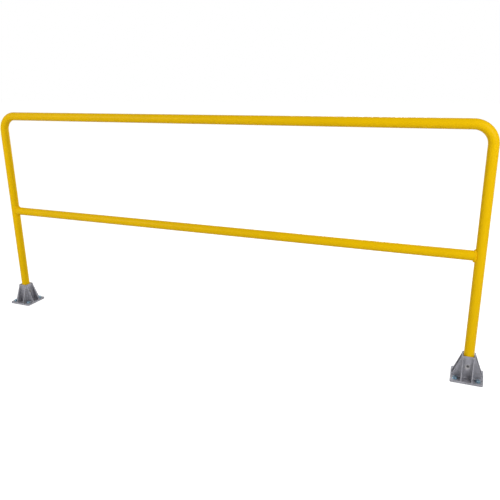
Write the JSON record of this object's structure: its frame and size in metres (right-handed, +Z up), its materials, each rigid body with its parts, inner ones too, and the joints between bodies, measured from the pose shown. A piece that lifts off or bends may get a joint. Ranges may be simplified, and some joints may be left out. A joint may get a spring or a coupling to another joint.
{
  "type": "floor-mounted safety railing",
  "caption": "Floor-mounted guard railing: a bent tube frame with a mid rail, standing in ribbed socket castings that bolt down to the floor.",
  "frame": {"origin": "on the underside of the left socket's base plate, on the left post's axis, at floor level", "axes": "+X from the left post to the right post, +Y through the railing away from the side that the right set screw faces, +Z up"},
  "size_m": [2.518, 0.13, 1.067],
  "materials": {
    "yellow_coat": "satin powder coat on steel tube",
    "cast_metal": "rough sand casting",
    "zinc_steel": "bright zinc plating, on the anchor bolts and washers",
    "dark_steel": "black oxide, on the set screws"
  },
  "bodies": {
    "root": {"left_post": "yellow_coat", "left_bend": "yellow_coat", "top_rail": "yellow_coat", "right_bend": "yellow_coat", "right_post": "yellow_coat", "mid_rail": "yellow_coat", "left_mid_rail_weld": "yellow_coat", "right_mid_rail_weld": "yellow_coat", "left_socket": "cast_metal", "right_socket": "cast_metal", "left_set_screw": "dark_steel", "right_set_screw": "dark_steel"}
  },
  "joints": []
}
